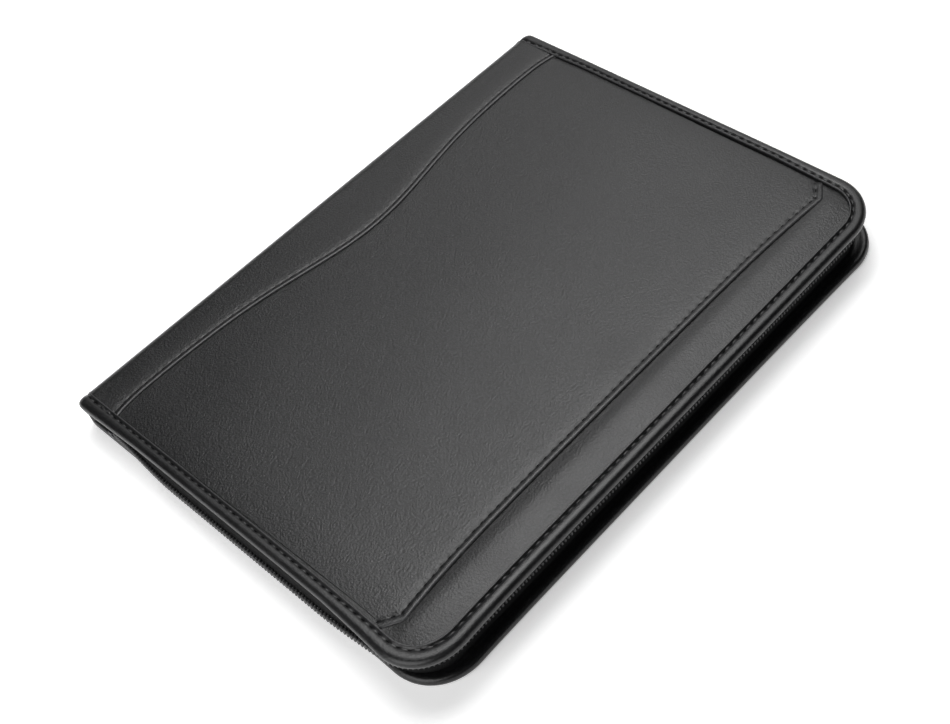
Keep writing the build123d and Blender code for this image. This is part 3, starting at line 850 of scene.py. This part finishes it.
def zipper_tape(name, side, body, replaces):
    bm = bmesh.new()
    shares = [i / TAPE_SHARES for i in range(TAPE_SHARES + 1)]
    outer = ZIP_CORNER.y - ZIP_RADIUS
    section = [(TAPE_START, outer + TAPE_BOW * sin(pi * s), s) for s in shares]
    section += [(u, v + TAPE_THICKNESS, s) for u, v, s in reversed(section)]
    ring = start_ring(bm, section)
    cap(bm, ring)
    along_end, round_corner, along_fore = TAPE_STEPS
    ring = carry(bm, ring, (ZIP_CORNER.x - TAPE_START, 0, 0), along_end)
    ring = turn(bm, ring, ZIP_CORNER, (0, 0, 1), pi / 2, round_corner)
    carry(bm, ring, (0, -ZIP_CORNER.y, 0), along_fore)
    mirror_half(bm)
    for vert in bm.verts:
        top = half_gap(vert.co.x) + TAPE_SEWN_IN
        vert.co.y -= bulge(vert.co.x, vert.co.y) * (1 - vert.co.z**2)
        vert.co.z = side * (TAPE_EDGE + (top - TAPE_EDGE) * vert.co.z)
    return finish_piece(name, bm, ZIP_PLACE, [tape_weave_painted_shade], body, replaces)


front_tape = zipper_tape("front_zipper_tape", 1, "front_cover", ["zipper_tape_front"])
back_tape = zipper_tape("back_zipper_tape", -1, "back_cover", ["zipper_tape_back"])

# %% [markdown]
# The teeth are a coil of nylon thread that is sewn to the tape's edge. From outside each turn of the
# coil shows as a short bar, and the bars of the two halves are staggered. They lie on the tape's outer
# face and leave a narrow lane between the halves, where the post of the slider runs. One bar is a
# rounded block, and a loop sets copies of it along the path of the tape. Nylon is black and a little
# shiny, but the bars are coloured a mid grey as painted highlight, so the row of bars shows light in
# the gap.

# %% Zipper coil
BAR_PITCH = 2.2
BAR_SIZE = (1.0, 1.9, 2.4)
BAR_CLEAR = 0.25
BAR_ROUND = 0.3
RUBBED_PATCH = 6.0
CHAIN_START = 28.3

# Mid grey, lighter than black nylon: a painted highlight on the bars.
nylon = {"Base Color": linear("#3c3c3d"), "Specular IOR Level": 0.6}
coil_nylon_painted_highlight, tree, sockets = new_material("nylon_coil_painted_highlight", nylon)
here = add_node(tree, "ShaderNodeTexCoord", {}).outputs["Object"]
rub = add_node(tree, "ShaderNodeTexNoise", {"Vector": here, "Scale": 1 / (RUBBED_PATCH * MM)})
polish = {"Value": rub.outputs["Fac"], 3: 0.3, 4: 0.5}
add_node(tree, "ShaderNodeMapRange", polish, sockets["Roughness"])

ZIP_SIDE = ZIP_CORNER.x - CHAIN_START
ZIP_BEND = ZIP_RADIUS * pi / 2
ZIP_HALF = ZIP_SIDE + ZIP_BEND - ZIP_CORNER.y


def zip_frame(travel):
    """Place and heading on the zip's path, at a distance from its near end."""
    part = min(travel, 2 * ZIP_HALF - travel)
    angle = min(max((part - ZIP_SIDE) / ZIP_RADIUS, 0), pi / 2)
    point = ZIP_CORNER + ZIP_RADIUS * Vector((sin(angle), -cos(angle), 0))
    point.x += min(part - ZIP_SIDE, 0)
    point.y += max(part - ZIP_SIDE - ZIP_BEND, 0)
    if travel > ZIP_HALF:
        point.y = -point.y
        angle = pi - angle
    point.y -= bulge(point.x, point.y)
    return Matrix.Translation(point) @ Matrix.Rotation(angle, 4, "Z")


def zipper_coil(name, side, body, replaces):
    bm = bmesh.new()
    bar = bmesh.new()
    bmesh.ops.create_cube(bar, size=1)
    bmesh.ops.scale(bar, verts=bar.verts, vec=BAR_SIZE)
    bmesh.ops.bevel(bar, geom=bar.edges[:], offset=BAR_ROUND, segments=1, affect="EDGES", **ROUND)
    rise = side * (BAR_SIZE[2] / 2 + BAR_CLEAR)
    bmesh.ops.translate(bar, verts=bar.verts, vec=(0, -BAR_SIZE[1] / 2, rise))
    count = int(2 * ZIP_HALF / BAR_PITCH)
    frames = [zip_frame((i + 0.25 + side * 0.25) * BAR_PITCH) for i in range(count)]
    repeat_shape(bm, bar, frames, 0)
    finish_piece(name, bm, ZIP_PLACE, [coil_nylon_painted_highlight], body, replaces)


zipper_coil("front_zipper_coil", 1, "front_cover", ["zipper_chain_front"])
zipper_coil("back_zipper_coil", -1, "back_cover", ["zipper_chain_back"])

# %% [markdown]
# The slider, its crown, the stops and the pull are die-cast zinc with a dark plating. The CAD has
# their full shape, so a copy only needs its edges rounded, as the die and the tumbling leave them.
# The plating is a dark metal with fine scratches; the lock spring is bare steel.

# %% Metal pieces of the zipper
SCRATCH = 0.8


def plated(name, tone, rough, polished):
    material, tree, sockets = new_material(name, {"Base Color": linear(tone), "Metallic": 1.0})
    here = add_node(tree, "ShaderNodeTexCoord", {}).outputs["Object"]
    marks = {"Vector": here, "Scale": 1 / (SCRATCH * MM), "Detail": 4.0, "Roughness": 0.7}
    scratches = add_node(tree, "ShaderNodeTexNoise", marks)
    polish = {"Value": scratches.outputs["Fac"], 3: polished, 4: rough}
    add_node(tree, "ShaderNodeMapRange", polish, sockets["Roughness"])
    return material


gunmetal = plated("gunmetal_plated_zinc", "#4a4a4e", 0.42, 0.22)
spring_steel = plated("spring_steel", "#a8a9ad", 0.4, 0.25)
FLAT_ENOUGH = radians(1)
EDGE_ANGLE = radians(30)


def softened(name, node, width, material, body):
    """Copy of a CAD node with its sharp edges rounded."""
    bm = bmesh.new()
    bm.from_mesh(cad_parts[node].data)
    bmesh.ops.remove_doubles(bm, verts=bm.verts, dist=0.002 * MM)
    bmesh.ops.dissolve_limit(bm, angle_limit=FLAT_ENOUGH, verts=bm.verts, edges=bm.edges)
    sharp = [e for e in bm.edges if e.is_manifold and e.calc_face_angle() > EDGE_ANGLE]
    soft = {"offset": width * MM, "segments": 2, "clamp_overlap": True}
    bmesh.ops.bevel(bm, geom=sharp, affect="EDGES", **soft, **ROUND)
    bmesh.ops.triangulate(bm, faces=[f for f in bm.faces if len(f.verts) > 4])
    finish_piece(name, bm, Matrix.Identity(4), [material], body, [node])


softened("zip_slider_shell", "slider_body", 0.25, gunmetal, "zip_slider")
softened("slider_bridge", "slider_crown", 0.2, gunmetal, "zip_slider")
softened("slider_spring", "slider_lock_spring", 0.06, spring_steel, "zip_slider")
softened("zip_pull_tab", "pull_tab", 0.2, gunmetal, "zip_pull")
softened("front_stops", "zipper_stops_front", 0.25, gunmetal, "front_cover")
softened("back_stops", "zipper_stops_back", 0.25, gunmetal, "back_cover")

# %% [markdown]
# Inside, both boards are covered with a thin nylon lining. It is glued to the board and turned down at
# the rim, where the binding holds it. The lining is a grid like the outer leather, seen from the
# other side, with an edge that falls to the binding.

# %% Linings of the covers
lining_weave = woven("nylon_lining", "#151517", 0.35, 0.35, 0.7)
INSIDE_BACK = sheet_place(0, 0, -1)
FRONT_STACK = 5.6
BACK_STACK = 4.0
LINING_THICKNESS = 0.55
LINING_INSET = 8.3
FRONT_FALL = 1.4
BACK_FALL = 0.3
TUCK_REACH = 2.2


def tucked(u, v, half):
    """Share of the fall, from 1 at the lining's edge to 0 where it lies on the board."""
    return max(0, 1 - ((from_rim(u, v, half) - LINING_INSET) / TUCK_REACH) ** 2)


def front_lining_fall(u, v):
    return FRONT_FALL * tucked(u, v, FRONT.half)


def back_lining_fall(u, v):
    return BACK_FALL * tucked(u, v, BACK.half)


under = -LINING_THICKNESS
cloth = Sheet(FRONT, FRONT.place, LINING_INSET, -FRONT_STACK, under, front_lining_fall, 0.08)
front_lining = cover_sheet("front_lining_cloth", cloth, lining_weave, ["front_lining"])
cloth = Sheet(BACK, INSIDE_BACK, LINING_INSET, -BACK_STACK, under, back_lining_fall, 0.06)
back_lining = cover_sheet("back_lining_cloth", cloth, lining_weave, ["back_lining"])

# %% [markdown]
# The same cloth runs through the gutter of the case: from the lining of a cover, down over the edge of
# its board, round the fold and up the spine. Its section is the same all along the spine, so it is
# drawn once and extruded, and it bends with the fold as the leather outside does.

# %% Lining of the gutter
GUTTER_HALF = 158.0
GUTTER_LAP = 0.1
GUTTER_DEPTH = 2.4
GUTTER_CLOTH = 0.4
GUTTER_STEPS = 24


def gutter_lining(name, cover, stack, replaces):
    path = [(17.0, -stack - GUTTER_LAP), (13.2, -stack - GUTTER_LAP), (11.9, 0.4 - stack)]
    path += [(10.9, -0.6 * stack - 1.0), (9.8, -GUTTER_DEPTH - 0.3)]
    line = [(Vector((u, w)), Vector((-0.3, 1.0))) for u, w in path]
    middle = Vector((cover.fold_start, -FOLD_RADIUS))
    for i in range(FOLD_RINGS + 1):
        angle = cover.turn * i / FOLD_RINGS
        out = Vector((-sin(angle), cos(angle)))
        line.append((middle + out * (FOLD_RADIUS - GUTTER_DEPTH), out))
    down = Vector((-cos(cover.turn), -sin(cover.turn))) * SPINE_STRAIGHT / 2
    line.append((line[-1][0] + down, line[-1][1]))
    section = [point for point, _ in line]
    section += [point + out * GUTTER_CLOTH for point, out in reversed(line)]
    bm = bmesh.new()
    ring = start_ring(bm, [(p.x, -GUTTER_HALF, p.y) for p in section])
    cap(bm, ring)
    cap(bm, carry(bm, ring, (0, 2 * GUTTER_HALF, 0), GUTTER_STEPS))
    place = FRONT.place if cover is FRONT else INSIDE_BACK
    piece = finish_piece(name, bm, place, [lining_weave], None, replaces)
    bend_at_fold(piece, cover)
    return piece


front_gutter = gutter_lining("front_gutter_lining", FRONT, FRONT_STACK, ["spine_lining"])
back_gutter = gutter_lining("back_gutter_lining", BACK, BACK_STACK, ["spine_lining"])

# %% [markdown]
# Inside the front is a document pocket with a slanted mouth, hemmed and sewn as the pocket outside is,
# so the same function makes it, turned over.

# %% Document pocket
DOCUMENT_HALF = 154.0
DOCUMENT_END = 244.0
DOCUMENT_DEPTH = 6.4
DOCUMENT_MOUTH = 47.0
DOCUMENT_SLANT = 15.0


def slanted_edge(v):
    """Distance from the spine of the document pocket's mouth."""
    return DOCUMENT_MOUTH + DOCUMENT_SLANT * v / DOCUMENT_HALF


across_inside = (FRONT.place, "front_cover", DOCUMENT_HALF, slanted_edge)
papers = Panel(*across_inside, DOCUMENT_END, -DOCUMENT_DEPTH, -1, 1, WAVE_HEM, 24, 0.15)
document_pocket = hemmed_panel("inside_document_pocket", papers, cover_leather, ["document_pocket"])

# %% [markdown]
# The card pockets, the window for a name card and the pocket that holds the pad are patches: leather
# with rounded corners, an edge that is turned under and a seam a few millimetres inside it. Each is a
# rounded plate that is inset three times. The first inset makes the turned edge, the second the seam
# that is pulled down, and the third lets the leather rise again.

# %% Sewn patches
PATCH_INSETS = ((0.3, 0.25), (0.8, 0.08), (1.6, -0.22), (1.6, 0.18))
PATCH_ROUND = 4.0
Patch = namedtuple("Patch", "place body low high level lift thickness")


def seam_places(face, lift):
    """Stitches along the sides of a face."""
    places = []
    for edge in face.edges:
        a, b = (vert.co.copy() for vert in edge.verts)
        count = int((b - a).length / STITCH)
        spots = [a.lerp(b, (i + 0.5) / count) for i in range(count)]
        places += [(spot, (b - a).normalized(), Vector((0, 0, lift))) for spot in spots]
    return places


def sewn_patch(name, patch, middle_material, replaces):
    bm = bmesh.new()
    low, high = Vector(patch.low), Vector(patch.high)
    bmesh.ops.create_grid(bm, x_segments=1, y_segments=1, size=0.5)
    bmesh.ops.scale(bm, vec=(high.x - low.x, high.y - low.y, 1), verts=bm.verts)
    centre = (low + high) / 2
    bmesh.ops.translate(bm, vec=(centre.x, centre.y, 0), verts=bm.verts)
    bmesh.ops.bevel(bm, geom=bm.verts[:], offset=PATCH_ROUND, segments=4, affect="VERTICES", **ROUND)
    face = bm.faces[:][0]
    stitches = []
    for width, rise in PATCH_INSETS:
        bmesh.ops.inset_region(bm, faces=[face], thickness=width, depth=rise, use_even_offset=True)
        if rise < 0:
            stitches = seam_places(face, 1)
    face.material_index = 2
    thicken(bm, patch.thickness)
    sew(bm, stitches)
    for vert in bm.verts:
        vert.co.z = patch.level + patch.lift * vert.co.z
    materials = [cover_leather, thread, middle_material]
    return finish_piece(name, bm, patch.place, materials, patch.body, replaces)


CARD_END = 226.0
CARD_ROW = 13.0
CARD_REACH = 88.0
CARD_SIDES = (28.0, 126.0)
CARD_STEP = 0.6
CARD_FIRST = 0.8
for row, node in enumerate(("card_pocket_upper", "card_pocket_middle", "card_pocket_lower")):
    low = (CARD_END - CARD_REACH + CARD_ROW * row, CARD_SIDES[0])
    level = -DOCUMENT_DEPTH - CARD_STEP * (row + CARD_FIRST)
    pocket = Patch(FRONT.place, "front_cover", low, (CARD_END, CARD_SIDES[1]), level, -1, CARD_STEP)
    name = node.replace("card_pocket", "card_sleeve")
    sewn_patch(name, pocket, cover_leather, [node])

# %% [markdown]
# The window is clear vinyl, sewn into a leather frame. It is smooth and bends light a little, with a
# very slow ripple, since film never lies dead flat. The pocket for the pad is a plain leather patch.

# %% Window for a name card
RIPPLE = 18.0
WINDOW_LOW = (160.0, -123.0)
WINDOW_HIGH = (CARD_END, -31.0)
WINDOW_DEPTH = DOCUMENT_DEPTH + 0.3
FILM_THICKNESS = 0.4

vinyl = {"Base Color": linear("#f2f4f4"), "Roughness": 0.08, "IOR": 1.45, "Transmission Weight": 0.9}
clear_film, tree, sockets = new_material("clear_vinyl", vinyl)
here = add_node(tree, "ShaderNodeTexCoord", {}).outputs["Object"]
ripple = add_node(tree, "ShaderNodeTexNoise", {"Vector": here, "Scale": 1 / (RIPPLE * MM)})
film_bump = {"Strength": 0.3, "Distance": 0.4 * MM, "Height": ripple.outputs["Fac"]}
add_node(tree, "ShaderNodeBump", film_bump, sockets["Normal"])

film = Patch(FRONT.place, "front_cover", WINDOW_LOW, WINDOW_HIGH, -WINDOW_DEPTH, -1, FILM_THICKNESS)
window = sewn_patch("name_card_window", film, clear_film, ["id_window"])

# %% Pocket for the pad
PAD_LOW = (29.5, -115.0)
PAD_HIGH = (248.5, 142.5)
PAD_DEPTH = 5.4
PAD_THICKNESS = 0.6
holder = Patch(INSIDE_BACK, "back_cover", PAD_LOW, PAD_HIGH, -PAD_DEPTH, -1, PAD_THICKNESS)
pad_pocket = sewn_patch("pad_pocket", holder, cover_leather, ["pad_pocket_panel"])

# %% [markdown]
# A writing pad lies in the back cover: ruled paper, glued at the head under a strip of cloth tape, on
# a grey card. The paper is a stack of thin blocks that lie a fraction of a millimetre out of line, as
# leaves do. The ruling is a thin blue line at every step along the page, from a remainder of the
# place, and the same material shows the leaves at the edges as fine ribs.

# %% Writing pad
RULING = 7.1
RULE_WIDTH = 0.25
HEAD_MARGIN = 0.112
LEAVES = 8
LEAF_SHIFT = 0.22
LEAF_TURNS = (2.4, 1.7)
LEAF_RIB = 0.2

ruled_paper, tree, sockets = new_material("ruled_bond_paper", {"Roughness": 0.8})
here = add_node(tree, "ShaderNodeTexCoord", {}).outputs["Object"]
down_page = add_node(tree, "ShaderNodeSeparateXYZ", {"Vector": here}).outputs["Y"]
steps = add_node(tree, "ShaderNodeMath", {0: down_page, 1: RULING * MM}, operation="DIVIDE")
within = add_node(tree, "ShaderNodeMath", {0: steps.outputs[0]}, operation="FRACT")
thin = {0: within.outputs[0], 1: RULE_WIDTH / RULING}
on_rule = add_node(tree, "ShaderNodeMath", thin, operation="LESS_THAN")
below_head = add_node(tree, "ShaderNodeMath", {0: down_page, 1: HEAD_MARGIN}, operation="LESS_THAN")
both = {0: on_rule.outputs[0], 1: below_head.outputs[0]}
ruled = add_node(tree, "ShaderNodeMath", both, operation="MULTIPLY")
inks = {0: ruled.outputs[0], 6: linear("#f1f0ea"), 7: linear("#9db4cc")}
page = add_node(tree, "ShaderNodeMix", inks, data_type="RGBA")
tree.links.new(page.outputs[2], sockets["Base Color"])
stack = {"Vector": here, "Scale": WAVE_SCALE / (LEAF_RIB * MM), "Distortion": 0.8}
leaf_edges = add_node(tree, "ShaderNodeTexWave", stack, bands_direction="Z")
ribs = {"Strength": 0.3, "Distance": 0.1 * MM, "Height": leaf_edges.outputs["Fac"]}
add_node(tree, "ShaderNodeBump", ribs, sockets["Normal"])

paper_low, paper_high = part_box("pad_paper")
leaf_size = paper_high - paper_low
bm = bmesh.new()
leaf = bmesh.new()
bmesh.ops.create_cube(leaf, size=1)
bmesh.ops.scale(leaf, vec=(leaf_size.x, leaf_size.y, leaf_size.z / LEAVES), verts=leaf.verts)
leaf_frames = []
for i in range(LEAVES):
    middle = (paper_low + paper_high) / 2
    middle.x += LEAF_SHIFT * MM * sin(LEAF_TURNS[0] * i)
    middle.y -= LEAF_SHIFT * MM * (1 + cos(LEAF_TURNS[1] * i))
    middle.z = paper_low.z + leaf_size.z * (i + 0.5) / LEAVES
    leaf_frames.append(Matrix.Translation(middle))
repeat_shape(bm, leaf, leaf_frames, 0)
unmoved = Matrix.Identity(4)
finish_piece("pad_pages", bm, unmoved, [ruled_paper], "back_cover", ["pad_paper"])

# %% [markdown]
# Card, head tape, pen loop and what lies hidden in the covers. The card is grey board with flecks of
# pulp; the tape is a coarse cloth; the loop is ribbed elastic, a rounded tube that is sewn into the
# gutter; the foam and the boards are only seen where a cover is cut.

# %% Card, tape, loop, foam and boards


def speckled(name, tone, fleck_tone, fleck, rough):
    """Matt board or foam: two tones that are mixed by a fine noise."""
    material, tree, sockets = new_material(name, {"Roughness": rough, "Specular IOR Level": 0.2})
    here = add_node(tree, "ShaderNodeTexCoord", {}).outputs["Object"]
    fine = {"Vector": here, "Scale": 1 / (fleck * MM), "Detail": 3.0}
    flecks = add_node(tree, "ShaderNodeTexNoise", fine).outputs["Fac"]
    tones = {0: flecks, 6: linear(tone), 7: linear(fleck_tone)}
    colour = add_node(tree, "ShaderNodeMix", tones, data_type="RGBA")
    tree.links.new(colour.outputs[2], sockets["Base Color"])
    rough_face = {"Strength": 0.25, "Distance": 0.1 * MM, "Height": flecks}
    add_node(tree, "ShaderNodeBump", rough_face, sockets["Normal"])
    return material


chipboard = speckled("grey_chipboard", "#8b8780", "#a39f97", 1.2, 0.9)
stiffener = speckled("stiffener_board", "#5c574f", "#6b665d", 1.5, 0.9)
foam = speckled("polyurethane_foam", "#3a3a3c", "#4a4a4c", 0.6, 0.95)
head_cloth = woven("head_tape_cloth", "#1d2a44", 0.6, 0.5, 0.8)

softened("pad_card", "pad_backing_board", 0.15, chipboard, "back_cover")
softened("pad_head_cloth", "pad_head_tape", 0.18, head_cloth, "back_cover")
HIDDEN = {
    "front_foam": foam,
    "back_foam": foam,
    "front_board": stiffener,
    "back_board": stiffener,
    "spine_strip": stiffener,
}
for node, material in HIDDEN.items():
    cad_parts[node].data.materials.clear()
    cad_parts[node].data.materials.append(material)

# %% Pen loop
LOOP_ROUND = 3.2
LOOP_CLOTH = 0.7
LOOP_SWELL = 0.25
LOOP_STEPS = 12
elastic = woven("elastic_webbing", "#101012", 0.9, 0.7, 0.8)
loop_low, loop_high = (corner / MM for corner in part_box("pen_loop"))


def rounded_square(low, high, radius, y):
    """Points round a square with rounded corners, in the plane across the loop."""
    points = []
    for i in range(4):
        right, top = i in (0, 3), i in (0, 1)
        x = high.x - radius if right else low.x + radius
        z = high.z - radius if top else low.z + radius
        for k in range(5):
            angle = pi / 2 * (i + k / 4)
            points.append((x + radius * cos(angle), y, z + radius * sin(angle)))
    return points


bm = bmesh.new()
wall = Vector((LOOP_CLOTH, 0, LOOP_CLOTH))
run = (0, loop_high.y - loop_low.y, 0)
outer = start_ring(bm, rounded_square(loop_low, loop_high, LOOP_ROUND, loop_low.y))
inside = rounded_square(loop_low + wall, loop_high - wall, LOOP_ROUND - LOOP_CLOTH, loop_low.y)
inner = start_ring(bm, inside)
ends = [carry(bm, ring, run, LOOP_STEPS) for ring in (outer, inner)]
for pair in ((outer, inner), ends):
    edges = [e for ring in pair for e in ring if isinstance(e, bmesh.types.BMEdge)]
    bmesh.ops.bridge_loops(bm, edges=edges)
loop_middle = (loop_low + loop_high) / 2
for vert in bm.verts:
    share = (vert.co.y - loop_middle.y) / (loop_high.y - loop_low.y) * 2
    rise = vert.co.z - loop_low.z
    vert.co.z -= LOOP_SWELL * share * share * rise / (loop_high.z - loop_low.z)
in_metres = Matrix.Scale(MM, 4)
finish_piece("elastic_pen_loop", bm, in_metres, [elastic], "back_cover", ["pen_loop"])

# %% [markdown]
# All the sheets are sewn or glued down, so none hangs free.

# %% [markdown]
# The photograph has a white ground and soft light from above, so the cover shines most along its
# fore edge and falls off to black at the near end of the spine. Five area lights give that. The key
# and the overhead one make the fall across the cover, the back and the left one light the far end
# and the spine, and the broad one in front shows the zip and keeps the floor pale. The floor is a
# product table of white acrylic with some light from below, which keeps the shadows soft. The sky is
# pale at the horizon, as the wall of a studio is, and dark above it.

# %% Light and floor
HORIZON_GLOW = 0.55
SKY_GLOW = 0.03
TABLE_GLOW = 0.35
world = bpy.data.worlds.new("studio")
world.use_nodes = True
tree = world.node_tree
sky = tree.nodes["Background"]
sky.inputs["Color"].default_value = (1, 1, 1, 1)
direction = add_node(tree, "ShaderNodeTexCoord", {}).outputs["Generated"]
height = add_node(tree, "ShaderNodeSeparateXYZ", {"Vector": direction})
glow = {"Value": height.outputs["Z"], 1: 0.03, 2: 0.2, 3: HORIZON_GLOW, 4: SKY_GLOW}
add_node(tree, "ShaderNodeMapRange", glow, sky.inputs["Strength"])
bpy.context.scene.world = world
bpy.context.scene.view_settings.view_transform = "Standard"

LIGHTS = {
    "key": ((-0.45, 0.15, 1.4), 0.6, 7.0),
    "overhead": ((-0.3, 0.6, 1.3), 0.8, 8.0),
    "back": ((-0.65, 1.1, 0.75), 0.8, 2.0),
    "left": ((-1.2, 0.7, 0.9), 0.8, 1.5),
    "front_fill": ((0.2, -1.25, 0.85), 1.3, 14.0),
}
for name, (spot, size, power) in LIGHTS.items():
    lamp = bpy.data.lights.new(name, "AREA")
    lamp.energy = power
    lamp.size = size
    lamp_object = bpy.data.objects.new(name, lamp)
    lamp_object.location = spot
    lamp_object.rotation_euler = Vector(spot).to_track_quat("Z", "Y").to_euler()
    bpy.context.scene.collection.objects.link(lamp_object)
    print("light", name, power, "W")

VISUAL_LOW, VISUAL_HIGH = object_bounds()
acrylic = {"Base Color": linear("#fdfdfd"), "Roughness": 0.9, "Specular IOR Level": 0.1}
lit = {"Emission Color": linear("#ffffff"), "Emission Strength": TABLE_GLOW}
table_white, tree, sockets = new_material("pale_floor", {**acrylic, **lit})
bm = bmesh.new()
bmesh.ops.create_grid(bm, x_segments=1, y_segments=1, size=4)
bmesh.ops.translate(bm, vec=(0, 0, VISUAL_LOW.z), verts=bm.verts)
floor_mesh = bpy.data.meshes.new("floor")
bm.to_mesh(floor_mesh)
bm.free()
floor_mesh.materials.append(table_white)
floor = bpy.data.objects.new("floor", floor_mesh)
bpy.context.scene.collection.objects.link(floor)

# %% [markdown]
# The box of the finished model is set beside the box of the CAD.

# %% Boxes of the CAD and the model
size = {
    "cad": [list(CAD_LOW), list(CAD_HIGH)],
    "visual": [list(VISUAL_LOW), list(VISUAL_HIGH)],
}
